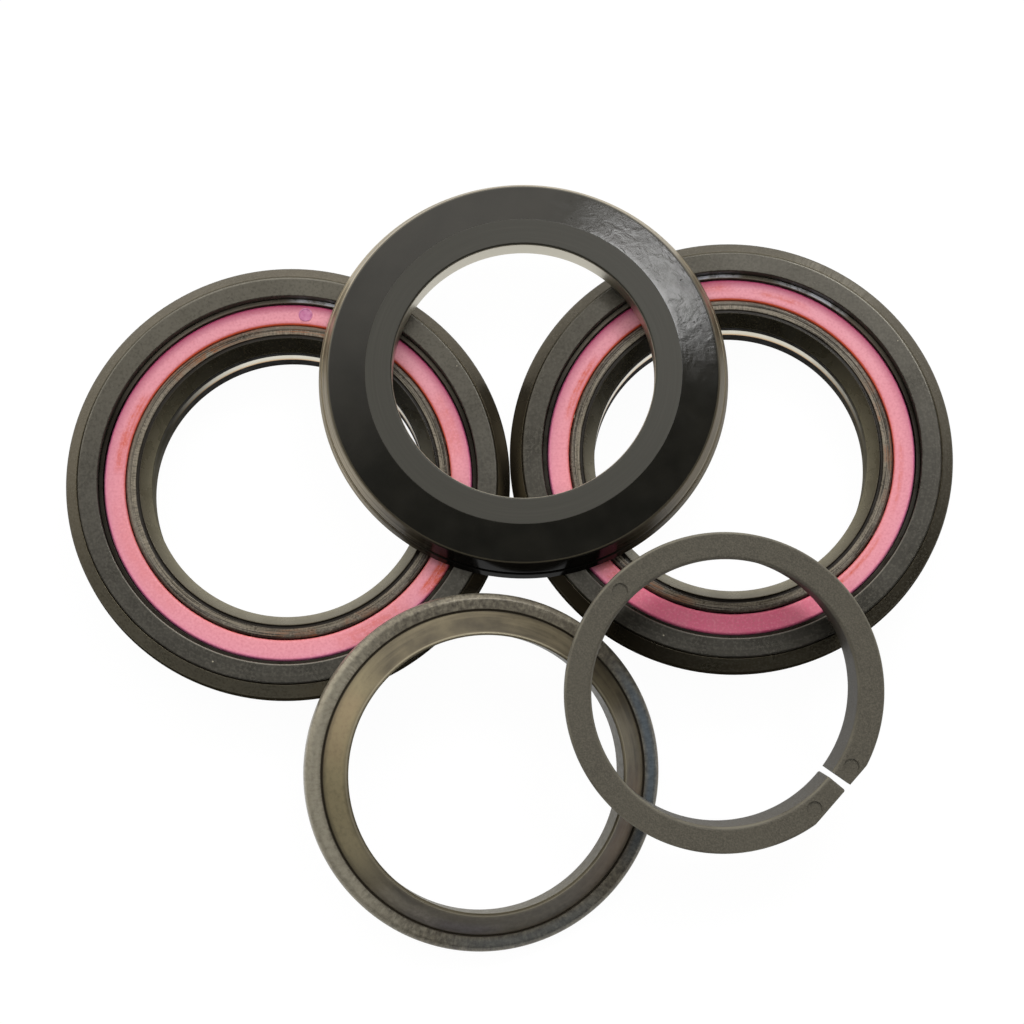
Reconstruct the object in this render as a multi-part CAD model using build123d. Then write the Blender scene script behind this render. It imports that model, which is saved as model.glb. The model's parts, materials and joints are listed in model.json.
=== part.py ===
from build123d import *
import math
import os

import numpy as np

# A zero-stack bicycle headset for a 28.6 mm steerer, lying as a loose set on a flat surface.
# Lengths are in millimetres, angles in degrees, +Z is up and Z = 0 is the surface.
# Profiles are lists of (radius, height) pairs that are turned about the vertical axis.

# Steerer and fits
steerer_diameter = 28.6
bearing_bore_clearance = 0.8
crown_seat_step = 0.7
seat_gap = 0.02
running_gap = 0.10
rest_gap = 0.03

# Cartridge bearing
bearing_section = 5.8
bearing_height = 6.5
bearing_seat_chamfer = 1.2
bearing_bore_chamfer = 1.1
race_corner = 0.2
ball_diameter = 3.175
ball_count = 24
ball_circle_depth = 2.95
groove_gap = 0.06
outer_race_wall = 2.0
inner_race_wall = 2.1
inner_race_land = 2.75
top_seal_lip = 0.45
bottom_seal_lip = 1.6
seal_thickness = 0.85
seal_recess = 0.1
seal_corner = 0.22
cage_floor = 0.1025
cage_above_centre = 1.0
cage_land_gap = 0.15

# Cups
insert_wall = 1.08
flange_overhang = 2.5
flange_thickness = 3.0
flange_chamfer_width = 1.4
flange_chamfer_height = 1.3
flange_under_chamfer = 0.25
mouth_recess = 1.1
mouth_chamfer = 0.25
cup_floor = 2.0
cup_floor_gap = 0.3
cup_lip_clearance = 1.9
cup_lip_chamfer = 0.4
insert_lead_in_width = 0.5
insert_lead_in_length = 0.9

# Top cover
cover_bore_clearance = 0.15
cover_flat_width = 2.95
cover_cone_width = 4.2
cover_flare_width = 1.1
cover_height = 3.7
cover_cone_drop = 0.9
cover_bore_chamfer = 0.2
cover_edge_chamfer = 0.15
cover_wall = 1.35
cover_hub_wall = 1.9
cover_hub_recess = 0.5
cover_groove_height = 0.95
cover_groove_width = 0.35
cover_groove_depth = 0.25

# Crown race
race_width = 4.45
race_rim_height = 1.6
race_rim_round = 0.55
race_ledge_height = 2.2
race_cone_width = 2.3
race_undercut_width = 0.2
race_undercut_depth = 0.3
race_top_land = 0.25
race_corner_chamfer = 0.3

# Split compression ring
ring_wall = 2.9
ring_height = 6.6
ring_band_height = 1.3
ring_foot_wall = 0.45
ring_edge_chamfer = 0.15
ring_bore_chamfer = 0.35
ring_split_gap = 0.8
ring_split_direction = -40.0
ring_flat_depth = 0.55
ring_lug_round = 0.3
ejector_mark_diameter = 1.7
ejector_mark_depth = 0.12
ejector_mark_directions = (-29.0, -51.0, 137.0)

# Where the loose pieces lie, seen from above, with +Y away from the viewer
cups_gap = 0.05
cups_direction = 3.4
cover_offset = (1.5, 9.8)
race_overlap = 5.55
race_direction = -56.3
ring_overlap = 15.2
ring_direction = -94.3

# Fineness of the search for the way that a loose ring comes to rest
rest_circle_points = 2400
rest_rounds = 6
search_rounds = 30
steepest_slope = 0.7

# Sizes that follow from those above, from the steerer outwards
steerer_radius = steerer_diameter / 2
bearing_bore_radius = steerer_radius + bearing_bore_clearance
bearing_radius = bearing_bore_radius + bearing_section
ball_pitch_radius = bearing_bore_radius + ball_circle_depth
groove_radius = ball_diameter / 2 + groove_gap
outer_land_radius = bearing_radius - outer_race_wall
inner_land_radius = bearing_bore_radius + inner_race_wall
inner_rim_radius = bearing_bore_radius + inner_race_land
seal_inner_radius = inner_rim_radius + running_gap
top_seal_outer_radius = bearing_radius - top_seal_lip
bottom_seal_outer_radius = bearing_radius - bottom_seal_lip
seal_high = seal_recess + seal_thickness
bearing_z = cup_floor + cup_floor_gap
cup_height = bearing_z + bearing_height + mouth_recess
cup_lip_radius = bearing_bore_radius + cup_lip_clearance
cup_mouth_radius = bearing_radius + seat_gap
insert_radius = cup_mouth_radius + insert_wall
flange_radius = insert_radius + flange_overhang
flange_flat_radius = flange_radius - flange_chamfer_width
flange_chamfer_z = cup_height - flange_chamfer_height
cover_bore_radius = steerer_radius + cover_bore_clearance
cover_flat_radius = cover_bore_radius + cover_flat_width
cover_edge_radius = cover_flat_radius + cover_cone_width
cover_base_radius = cover_edge_radius + cover_flare_width
race_bore_radius = steerer_radius + crown_seat_step
race_radius = race_bore_radius + race_width
race_top_radius = race_bore_radius + race_top_land
race_cone_base_radius = race_top_radius + race_cone_width
race_height = race_ledge_height + race_cone_width
ring_bore_radius = steerer_radius
ring_radius = ring_bore_radius + ring_wall
ring_foot_radius = ring_bore_radius + ring_foot_wall
ring_flat_distance = ring_radius - ring_flat_depth
ring_cone_height = ring_height - ring_band_height


def turned(profile):
    """Solid of revolution about the vertical axis from a closed (radius, height) outline."""
    outline = Polyline(*[(radius, 0, height) for radius, height in profile], close=True)
    return revolve(make_face(outline), axis=Axis.Z)


def polar(distance, direction):
    angle = math.radians(direction)
    return Vector(distance * math.cos(angle), distance * math.sin(angle), 0)


def ball_places():
    return [polar(ball_pitch_radius, 360 * index / ball_count) for index in range(ball_count)]


def cup():
    """Flanged cup: press-fit insert below, chamfered flange above, 45 degree bearing seat inside."""
    underside = cup_height - flange_thickness
    seat_top = bearing_z + bearing_seat_chamfer
    seat_foot_radius = cup_mouth_radius - (seat_top - cup_floor)
    return turned([
        (cup_lip_radius + cup_lip_chamfer, 0),
        (insert_radius - insert_lead_in_width, 0),
        (insert_radius, insert_lead_in_length),
        (insert_radius, underside),
        (flange_radius - flange_under_chamfer, underside),
        (flange_radius, underside + flange_under_chamfer),
        (flange_radius, flange_chamfer_z),
        (flange_flat_radius, cup_height),
        (cup_mouth_radius + mouth_chamfer, cup_height),
        (cup_mouth_radius, cup_height - mouth_chamfer),
        (cup_mouth_radius, seat_top),
        (seat_foot_radius, cup_floor),
        (cup_lip_radius, cup_floor),
        (cup_lip_radius, cup_lip_chamfer),
    ])


def ball_groove():
    return Pos(0, 0, bearing_height / 2) * Torus(ball_pitch_radius, groove_radius)


def outer_race():
    """Outer bearing ring, with the seat chamfer below and a recess for a seal at each face."""
    top = bearing_height
    ring = turned([
        (bearing_radius - bearing_seat_chamfer, 0),
        (bearing_radius, bearing_seat_chamfer),
        (bearing_radius, top - race_corner),
        (bearing_radius - race_corner, top),
        (top_seal_outer_radius + seat_gap, top),
        (top_seal_outer_radius + seat_gap, top - seal_high - seat_gap),
        (outer_land_radius, top - seal_high - seat_gap),
        (outer_land_radius, seal_high + seat_gap),
        (bottom_seal_outer_radius + seat_gap, seal_high + seat_gap),
        (bottom_seal_outer_radius + seat_gap, 0),
    ])
    return ring - ball_groove()


def inner_race():
    """Inner bearing ring, with the 45 degree cone for the wedge ring at its upper bore edge."""
    top = bearing_height
    shoulder = seal_high + seat_gap
    ring = turned([
        (bearing_bore_radius + race_corner, 0),
        (inner_rim_radius - race_corner, 0),
        (inner_rim_radius, race_corner),
        (inner_rim_radius, shoulder),
        (inner_land_radius, shoulder),
        (inner_land_radius, top - shoulder),
        (inner_rim_radius, top - shoulder),
        (inner_rim_radius, top - race_corner),
        (inner_rim_radius - race_corner, top),
        (bearing_bore_radius + bearing_bore_chamfer, top),
        (bearing_bore_radius, top - bearing_bore_chamfer),
        (bearing_bore_radius, race_corner),
    ])
    return ring - ball_groove()


def balls():
    level = Pos(0, 0, bearing_height / 2)
    return Compound([(Pos(place) * level * Sphere(ball_diameter / 2)).solid() for place in ball_places()])


def ball_cage():
    """Snap cage: a low ring with round pockets that are open at the top."""
    middle = bearing_height / 2
    low = middle - groove_radius - cage_floor
    high = middle + cage_above_centre
    ring = turned([
        (inner_land_radius + cage_land_gap, low),
        (outer_land_radius - cage_land_gap, low),
        (outer_land_radius - cage_land_gap, high),
        (inner_land_radius + cage_land_gap, high),
    ])
    pocket = Sphere(groove_radius)
    return ring - [Pos(place) * Pos(0, 0, middle) * pocket for place in ball_places()]


def seal(outer_radius):
    """Flat rubber ring with softened upper edges, lying on Z = 0."""
    return turned([
        (seal_inner_radius, 0),
        (outer_radius, 0),
        (outer_radius, seal_thickness - seal_corner),
        (outer_radius - seal_corner, seal_thickness),
        (seal_inner_radius + seal_corner, seal_thickness),
        (seal_inner_radius, seal_thickness - seal_corner),
    ])


def top_cover():
    """Shallow lid: flat top round the bore, gentle cone, flared side with a groove, hollow below."""
    cone_foot = cover_height - cover_cone_drop
    slope = cover_cone_drop / (cover_edge_radius - cover_flat_radius)
    flare = (cover_base_radius - cover_edge_radius) / cone_foot
    hub_radius = cover_bore_radius + cover_hub_wall
    cavity_radius = cover_edge_radius - cover_wall / 2
    groove_low = cover_groove_height - cover_groove_width / 2
    groove_high = cover_groove_height + cover_groove_width / 2

    def side(height):
        return cover_base_radius - flare * height

    return turned([
        (cavity_radius, 0),
        (side(0), 0),
        (side(groove_low), groove_low),
        (side(groove_low) - cover_groove_depth, groove_low),
        (side(groove_high) - cover_groove_depth, groove_high),
        (side(groove_high), groove_high),
        (side(cone_foot - cover_edge_chamfer), cone_foot - cover_edge_chamfer),
        (cover_edge_radius - cover_edge_chamfer, cone_foot + slope * cover_edge_chamfer),
        (cover_flat_radius, cover_height),
        (cover_bore_radius + cover_bore_chamfer, cover_height),
        (cover_bore_radius, cover_height - cover_bore_chamfer),
        (cover_bore_radius, cover_hub_recess),
        (hub_radius, cover_hub_recess),
        (hub_radius, cover_height - cover_wall),
        (cover_flat_radius, cover_height - cover_wall),
        (cavity_radius, cone_foot - cover_wall),
    ])


def crown_race():
    """Fork crown race: flat flange with a rounded rim, an undercut line and a 45 degree cone."""
    undercut_radius = race_cone_base_radius + race_undercut_width
    return turned([
        (race_bore_radius + race_corner_chamfer, 0),
        (race_radius - race_corner_chamfer, 0),
        (race_radius, race_corner_chamfer),
        (race_radius, race_rim_height),
        (race_radius - race_rim_round / 4, race_rim_height + race_rim_round / 2),
        (race_radius - race_rim_round, race_ledge_height),
        (undercut_radius, race_ledge_height),
        (undercut_radius, race_ledge_height - race_undercut_depth),
        (race_cone_base_radius, race_ledge_height - race_undercut_depth),
        (race_cone_base_radius, race_ledge_height),
        (race_top_radius, race_height),
        (race_bore_radius, race_height),
        (race_bore_radius, race_corner_chamfer),
    ])


def compression_ring():
    """Split wedge ring: flat top, short band, cone below, flats beside the split, ejector marks."""
    ring = turned([
        (ring_bore_radius, 0),
        (ring_foot_radius, 0),
        (ring_radius, ring_cone_height),
        (ring_radius, ring_height - ring_edge_chamfer),
        (ring_radius - ring_edge_chamfer, ring_height),
        (ring_bore_radius + ring_bore_chamfer, ring_height),
        (ring_bore_radius, ring_height - ring_bore_chamfer),
    ])
    outward = Rot(0, 0, ring_split_direction)
    from_axis = (Align.MIN, Align.CENTER, Align.MIN)
    beyond_flat = Box(ring_radius, 2 * ring_radius, ring_height, align=from_axis)
    split = Box(ring_radius + ring_height, ring_split_gap, ring_height, align=from_axis)
    ring -= outward * Pos(ring_flat_distance, 0, 0) * beyond_flat
    ring -= outward * split
    lug_edges = ring.edges().filter_by(Axis.Z).filter_by_position(Axis.Z, ring_cone_height, ring_height)
    ring = fillet(lug_edges, min(ring_lug_round, ring_band_height / 4))
    mark_radius = (ring_bore_radius + ring_bore_chamfer + ring_flat_distance) / 2
    mark = Cylinder(ejector_mark_diameter / 2, 2 * ejector_mark_depth)
    return ring - [Pos(polar(mark_radius, way)) * Pos(0, 0, ring_height) * mark
                   for way in ejector_mark_directions]


def circle_points(radius, height):
    """Points of a level circle about the vertical axis, as rows of x, y, z."""
    turns = np.linspace(0, 2 * math.pi, rest_circle_points, endpoint=False)
    return np.column_stack([radius * np.cos(turns), radius * np.sin(turns), np.full_like(turns, height)])


def lowest(height_at):
    """Golden-section search for the slope that gives the least height."""
    share = (math.sqrt(5) - 1) / 2
    low, high = -steepest_slope, steepest_slope
    for _ in range(search_rounds):
        left = high - share * (high - low)
        right = low + share * (high - low)
        if height_at(left) < height_at(right):
            high = right
        else:
            low = left
    return (low + high) / 2


def settle(spot, bore_radius, foot_radius, flare, rim_radius, supports):
    """Height and slopes at which a ring with its foot centred over spot lies on points and the floor.

    Above its foot the ring's side runs outwards to rim_radius, rising by flare for each millimetre.
    Of all tilts that clear the support points, the one with the lowest centre is taken.
    """
    places = supports - np.array([spot.X, spot.Y, 0])
    height = places[:, 2].max()
    slopes = (0.0, 0.0)
    for _ in range(rest_rounds):
        steepness = math.hypot(1, *slopes)
        normal = np.array([-slopes[0], -slopes[1], 1]) / steepness
        away = places - np.array([0, 0, height])
        across = np.linalg.norm(away - np.outer(away @ normal, normal), axis=1)
        under = (across > bore_radius) & (across < rim_radius)
        x, y, z = places[under].T
        z = z - np.maximum(0, across[under] - foot_radius) * flare * steepness

        def centre_height(x_slope, y_slope):
            steep = math.hypot(x_slope, y_slope)
            on_floor = foot_radius * steep / math.hypot(1, steep)
            return max(on_floor, np.max(z - x_slope * x - y_slope * y, initial=0))

        def best_y_slope(x_slope):
            return lowest(lambda y_slope: centre_height(x_slope, y_slope))

        x_slope = lowest(lambda slope: centre_height(slope, best_y_slope(slope)))
        slopes = (x_slope, best_y_slope(x_slope))
        height = centre_height(*slopes)
    return height + rest_gap, slopes


def leaning(spot, height, slopes):
    """Place of a ring whose foot is centred over spot and lies in a plane with these slopes."""
    normal = Vector(-slopes[0], -slopes[1], 1)
    along = Vector(1, 0, slopes[0])
    return Location(Plane(origin=(spot.X, spot.Y, height), x_dir=along, z_dir=normal))


def moved_points(place, points):
    """Points carried along to a place, as rows of x, y, z."""
    plane = Plane(place)
    frame = np.array([tuple(plane.x_dir), tuple(plane.y_dir), tuple(plane.z_dir)])
    return points @ frame + np.array(tuple(plane.origin))


def layout():
    """Places of the five groups of the set, as the loose pieces lie on the surface."""
    lower_axis = Vector(0, 0, 0)
    upper_axis = polar(2 * flange_radius + cups_gap, cups_direction)
    cover_spot = (lower_axis + upper_axis) / 2 + Vector(*cover_offset)
    race_spot = lower_axis + polar(flange_radius + race_radius - race_overlap, race_direction)
    ring_spot = upper_axis + polar(flange_radius + ring_radius - ring_overlap, ring_direction)

    flange_edges = np.vstack([
        circle_points(flange_flat_radius, cup_height),
        circle_points(flange_radius, flange_chamfer_z),
    ])
    both_flanges = np.vstack([flange_edges, flange_edges + np.array(tuple(upper_axis))])
    race_place = leaning(race_spot, *settle(
        race_spot, race_bore_radius, race_radius - race_corner_chamfer, 1, race_radius, both_flanges))

    race_edges = np.vstack([
        circle_points(race_top_radius, race_height),
        circle_points(race_cone_base_radius, race_ledge_height),
        circle_points(race_radius - race_rim_round, race_ledge_height),
        circle_points(race_radius, race_rim_height),
    ])
    ring_flare = ring_cone_height / (ring_radius - ring_foot_radius)
    under_ring = np.vstack([both_flanges, moved_points(race_place, race_edges)])
    ring_place = leaning(ring_spot, *settle(
        ring_spot, ring_bore_radius, ring_foot_radius, ring_flare, ring_radius, under_ring))

    return {
        "lower": Pos(lower_axis),
        "upper": Pos(upper_axis),
        "cover": Pos(cover_spot) * Pos(0, 0, cup_height),
        "race": race_place,
        "ring": ring_place,
    }


def model():
    """All nodes of the set by name, with the middle of the layout over the origin."""
    bearing_level = Pos(0, 0, bearing_z)
    top_seal_level = Pos(0, 0, bearing_height - seal_high)
    bottom_seal_level = Pos(0, 0, seal_high) * Rot(180, 0, 0)
    bearing = {
        "outer_race": outer_race(),
        "inner_race": inner_race(),
        "ball_cage": ball_cage(),
        "balls": balls(),
        "top_seal": top_seal_level * seal(top_seal_outer_radius),
        "bottom_seal": bottom_seal_level * seal(bottom_seal_outer_radius),
    }
    places = layout()
    nodes = {}
    for side in ("lower", "upper"):
        nodes[f"{side}_cup"] = places[side] * cup()
        for name, piece in bearing.items():
            nodes[f"{side}_{name}"] = places[side] * bearing_level * piece
    nodes["top_cover"] = places["cover"] * top_cover()
    nodes["crown_race"] = places["race"] * crown_race()
    nodes["compression_ring"] = places["ring"] * compression_ring()

    boxes = [piece.bounding_box() for piece in nodes.values()]
    middle_x = (min(box.min.X for box in boxes) + max(box.max.X for box in boxes)) / 2
    middle_y = (min(box.min.Y for box in boxes) + max(box.max.Y for box in boxes)) / 2
    to_origin = Pos(-middle_x, -middle_y, 0)
    places = {name: to_origin * place for name, place in places.items()}
    return {name: to_origin * piece for name, piece in nodes.items()}, places


nodes, places = model()
os.makedirs("parts", exist_ok=True)
for name, piece in nodes.items():
    export_step(piece, f"parts/{name}.step")
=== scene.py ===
import json
import math

import bpy
from mathutils import Matrix, Vector


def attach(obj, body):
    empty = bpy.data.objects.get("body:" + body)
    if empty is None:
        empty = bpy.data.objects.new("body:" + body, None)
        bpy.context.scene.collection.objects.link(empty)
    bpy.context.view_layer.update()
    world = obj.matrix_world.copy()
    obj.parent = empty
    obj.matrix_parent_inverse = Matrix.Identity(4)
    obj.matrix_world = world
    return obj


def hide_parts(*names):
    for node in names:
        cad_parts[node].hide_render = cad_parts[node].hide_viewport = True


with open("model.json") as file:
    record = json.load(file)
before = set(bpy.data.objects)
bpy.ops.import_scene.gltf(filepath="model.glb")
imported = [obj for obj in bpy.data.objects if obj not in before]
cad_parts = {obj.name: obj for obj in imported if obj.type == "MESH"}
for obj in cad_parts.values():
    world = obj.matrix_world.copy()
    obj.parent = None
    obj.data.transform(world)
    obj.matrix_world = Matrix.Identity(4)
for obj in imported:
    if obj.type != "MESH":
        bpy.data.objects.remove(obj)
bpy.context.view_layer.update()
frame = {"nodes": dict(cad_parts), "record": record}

# Lengths of the pieces are in millimetres and are turned into metres when a piece is made.
MM = 0.001
RING_SEGMENTS = 192
ROUND_STEPS = 4
SUPPORT_MM = 0.05
DOUBLES = 1e-6


# Places of the groups, read from the record's mounts

mounts = {mount["name"]: mount for mount in frame["record"]["mounts"]}
SIDES = ("lower", "upper")
BEARING_FLOOR = 2.3
SEAL_FLOOR = 5.55
CUP_HEIGHT = 9.9
RACE_HEIGHT = 4.5
RING_WALL_LENGTH = 6.25


def place_at(origin, normal):
    """Matrix that puts a piece's foot at origin with its axis along normal."""
    z_axis = Vector(normal).normalized()
    x_axis = Vector((1.0, 0.0, -z_axis.x / z_axis.z)).normalized()
    y_axis = z_axis.cross(x_axis)
    turn = Matrix((x_axis, y_axis, z_axis)).transposed().to_4x4()
    return Matrix.Translation(Vector(origin)) @ turn


def upright_place(mount_name, height):
    """Upright place on a mount's axis, at a height in millimetres."""
    x, y, _ = mounts[mount_name]["pos_m"]
    return place_at((x, y, height * MM), (0, 0, 1))


def leaning_place(mount_name, way, middle):
    """Place of a leaning ring from a mount at the given distance above its foot."""
    normal = way * Vector(mounts[mount_name]["axis"]).normalized()
    foot = Vector(mounts[mount_name]["pos_m"]) - middle * MM * normal
    return place_at(foot, normal)


places = {
    "cover": upright_place("cover_bore", CUP_HEIGHT),
    "race": leaning_place("crown_race_bore", -1.0, RACE_HEIGHT / 2),
    "ring": leaning_place("compression_ring_bore", 1.0, RING_WALL_LENGTH / 2),
}
for side in SIDES:
    places[f"{side}_cup"] = upright_place(f"{side}_cup_insert", 0.0)
    places[f"{side}_bearing"] = upright_place(f"{side}_cup_insert", BEARING_FLOOR)
    places[f"{side}_seal"] = upright_place(f"{side}_cup_insert", BEARING_FLOOR + SEAL_FLOOR)


# Modelling

def rounded(profile):
    """Outline points of a closed (radius, height, round) profile with its corners rounded."""
    corners = [Vector((radius, height)) for radius, height, _ in profile]
    points = []
    for index, corner in enumerate(corners):
        before = corners[index - 1] - corner
        after = corners[(index + 1) % len(corners)] - corner
        reach = min(profile[index][2], 0.4 * before.length, 0.4 * after.length)
        start = corner + before.normalized() * reach
        end = corner + after.normalized() * reach
        points.append(start + before.normalized() * min(SUPPORT_MM, 0.05 * before.length))
        for step in range(ROUND_STEPS + 1):
            share = step / ROUND_STEPS
            first = start.lerp(corner, share)
            second = corner.lerp(end, share)
            points.append(first.lerp(second, share))
        points.append(end + after.normalized() * min(SUPPORT_MM, 0.05 * after.length))
    return points


def finish_mesh(piece, place, smooth_angle=35.0):
    """Closes up a new mesh, smooths it and puts its place into its vertices."""
    bpy.ops.object.mode_set(mode="EDIT")
    bpy.ops.mesh.select_all(action="SELECT")
    bpy.ops.mesh.remove_doubles(threshold=DOUBLES)
    bpy.ops.mesh.fill_holes(sides=4)
    bpy.ops.mesh.normals_make_consistent(inside=False)
    bpy.ops.object.mode_set(mode="OBJECT")
    bpy.ops.object.shade_smooth_by_angle(angle=math.radians(smooth_angle))
    piece.matrix_world = place @ piece.matrix_world
    bpy.ops.object.transform_apply(location=True, rotation=True, scale=True)
    return piece


def named(piece, name):
    """Gives a piece and its mesh their name."""
    piece.name = name
    piece.data.name = name
    return piece


def turned(name, profile):
    """Closed ring, drawn out loop by loop from a circle along a profile, as on a lathe."""
    outline = rounded(profile)
    bpy.ops.object.select_all(action="DESELECT")
    bpy.ops.mesh.primitive_circle_add(
        vertices=RING_SEGMENTS, radius=outline[0].x * MM, fill_type="NOTHING",
        location=(0, 0, outline[0].y * MM), enter_editmode=True)
    piece = named(bpy.context.object, name)
    bpy.ops.mesh.select_mode(type="EDGE")
    for here, there in zip(outline, outline[1:] + outline[:1]):
        rise = (there.y - here.y) * MM
        bpy.ops.mesh.extrude_edges_move(TRANSFORM_OT_translate={"value": (0, 0, rise)})
        wider = there.x / here.x
        bpy.ops.transform.resize(value=(wider, wider, 1), center_override=(0, 0, 0))
    bpy.ops.object.mode_set(mode="OBJECT")
    return piece


CUP_PROFILE = [
    (17.40, 0.00, 0.05), (21.50, 0.00, 0.12), (22.00, 0.90, 0.20), (22.00, 6.90, 0.06),
    (24.25, 6.90, 0.06), (24.50, 7.15, 0.10), (24.50, 8.60, 0.14), (23.24, 9.72, 0.04),
    (23.10, 9.62, 0.03), (23.04, 9.86, 0.03), (22.97, 9.90, 0.04), (21.00, 9.90, 0.03), (20.92, 9.80, 0.03),
    (20.92, 3.50, 0.10), (19.42, 2.00, 0.08), (17.00, 2.00, 0.12), (17.00, 0.40, 0.10),
]
OUTER_RACE_PROFILE = [
    (19.70, 0.00, 0.08), (20.90, 1.20, 0.08), (20.90, 6.30, 0.10), (20.86, 6.50, 0.05),
    (20.42, 6.50, 0.04), (20.42, 5.53, 0.02), (18.90, 5.53, 0.02), (18.90, 4.66, 0.02),
    (19.54, 3.92, 0.10), (19.70, 3.25, 0.10), (19.54, 2.58, 0.10), (18.90, 1.84, 0.02),
    (18.90, 0.97, 0.02), (19.32, 0.97, 0.02), (19.32, 0.00, 0.04),
]
# The band of painted reflection in an inner race's bore
BAND_FOOT = 2.25
BAND_TOP = 3.95
# Faces nearer the axis than this are the bore's wall.
BORE_WALL = 15.16
INNER_RACE_PROFILE = [
    (15.30, 0.00, 0.06), (17.65, 0.00, 0.06), (17.85, 0.20, 0.06), (17.85, 0.97, 0.02),
    (17.20, 0.97, 0.02), (17.20, 1.84, 0.02), (16.56, 2.58, 0.10), (16.40, 3.25, 0.10),
    (16.56, 3.92, 0.10), (17.20, 4.66, 0.02), (17.20, 5.53, 0.02), (17.85, 5.53, 0.02),
    (17.85, 6.30, 0.06), (17.65, 6.50, 0.05), (17.36, 6.50, 0.03), (17.30, 6.44, 0.03),
    (16.80, 6.44, 0.04), (16.71, 6.30, 0.04), (16.48, 6.30, 0.04), (16.41, 6.44, 0.03), (16.31, 6.44, 0.04),
    (15.10, 4.90, 0.08), (15.10, BAND_TOP, 0.02), (15.10, BAND_FOOT, 0.02), (15.10, 0.20, 0.06),
]
SEAL_PROFILE = [
    (17.96, 0.00, 0.03), (20.30, 0.00, 0.03), (20.30, 0.60, 0.10), (20.14, 0.84, 0.12),
    (18.30, 0.85, 0.15), (18.12, 0.80, 0.08), (17.96, 0.62, 0.08),
]
COVER_PROFILE = [
    (20.925, 0.00, 0.05), (22.70, 0.00, 0.08), (22.39, 0.775, 0.05), (22.15, 0.775, 0.03),
    (22.01, 1.125, 0.03), (22.26, 1.125, 0.05), (21.66, 2.65, 0.08), (21.45, 2.832, 0.08),
    (17.40, 3.70, 0.06), (14.65, 3.70, 0.05), (14.45, 3.50, 0.06), (14.45, 0.50, 0.08),
    (16.35, 0.50, 0.05), (16.35, 2.35, 0.10), (17.40, 2.35, 0.20), (20.925, 1.45, 0.20),
]
RACE_PROFILE = [
    (15.30, 0.00, 0.06), (19.15, 0.00, 0.10), (19.45, 0.30, 0.12), (19.45, 1.60, 0.20),
    (19.31, 1.875, 0.15), (18.90, 2.20, 0.20), (17.75, 2.20, 0.05), (17.75, 1.90, 0.05),
    (17.55, 1.90, 0.05), (17.55, 2.20, 0.05), (15.25, 4.50, 0.10), (15.00, 4.50, 0.06),
    (15.00, 0.30, 0.06),
]
RING_PROFILE = [
    (14.30, 0.00, 0.10), (14.75, 0.00, 0.12), (17.20, 5.30, 0.20), (17.20, 6.60, 0.24),
    (14.55, 6.60, 0.18), (14.30, 6.30, 0.15),
]
SPLIT_DIRECTION = math.radians(-40.0)
SPLIT_GAP = 0.55
SPLIT_FLAT = 16.65
# Steps that round the edges of the split's two faces: how far in, and how far out of the face.
SPLIT_ROUNDING = ((0.03, 0.08), (0.05, 0.06), (0.09, 0.04))
MARK_DIRECTIONS = (-29.0, -51.0, 137.0)
MARK_RADIUS = 0.85
MARK_DEPTH = 0.2
MARK_PLACE = 15.75
RING_TOP = 6.6
# The gate mark on the seal: its size, its level above the seal's foot, and its rim's insets and rises
GATE_RADIUS = 0.78
GATE_HEIGHT = 0.16
GATE_LEVEL = 0.82
GATE_RIM = ((0.05, 0.025), (0.09, 0.0), (0.05, -0.045))


def only_selected(piece):
    """Makes a piece the one that the next operators act on."""
    bpy.ops.object.select_all(action="DESELECT")
    piece.select_set(True)
    bpy.context.view_layer.objects.active = piece


def wedge_ring(name):
    """Split wedge ring, swept from one face of its split to the other, with its flats and soft lugs."""
    rounding = sum(depth for _, depth in SPLIT_ROUNDING)
    half_gap = math.asin((SPLIT_GAP / 2 + rounding) / MARK_PLACE)
    start = SPLIT_DIRECTION + half_gap
    outline = rounded(RING_PROFILE)
    bpy.ops.object.select_all(action="DESELECT")
    bpy.ops.mesh.primitive_circle_add(
        vertices=len(outline), radius=MM, fill_type="NGON", location=(0, 0, 0))
    piece = named(bpy.context.object, name)
    for vertex, point in zip(piece.data.vertices, outline):
        vertex.co = Vector((point.x * math.cos(start), point.x * math.sin(start), point.y)) * MM
    bpy.ops.object.mode_set(mode="EDIT")
    bpy.ops.mesh.select_all(action="SELECT")
    bpy.ops.mesh.spin(
        steps=RING_SEGMENTS, angle=2 * (math.pi - half_gap), center=(0, 0, 0), axis=(0, 0, 1))
    outward = Vector((math.cos(SPLIT_DIRECTION), math.sin(SPLIT_DIRECTION), 0))
    bpy.ops.mesh.select_all(action="SELECT")
    bpy.ops.mesh.bisect(
        plane_co=outward * SPLIT_FLAT * MM, plane_no=outward, use_fill=True, clear_outer=True,
        threshold=0.1 * DOUBLES)
    bpy.ops.mesh.select_all(action="SELECT")
    bpy.ops.mesh.remove_doubles(threshold=DOUBLES)
    bpy.ops.mesh.normals_make_consistent(inside=False)
    for inset, rise in SPLIT_ROUNDING:
        bpy.ops.object.mode_set(mode="OBJECT")
        select_split_faces(piece, outward)
        bpy.ops.object.mode_set(mode="EDIT")
        bpy.ops.mesh.inset(thickness=inset * MM, depth=rise * MM)
    bpy.ops.object.mode_set(mode="OBJECT")
    return piece


def select_split_faces(piece, outward):
    """Selects the two faces that look at each other across the split."""
    across = Vector((-outward.y, outward.x, 0))
    for item in (*piece.data.vertices, *piece.data.edges):
        item.select = False
    for face in piece.data.polygons:
        near_split = abs(face.center.dot(across)) < 0.7 * MM and face.center.dot(outward) > 0
        face.select = near_split and abs(face.normal.dot(across)) > 0.99 and len(face.vertices) > 8


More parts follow.
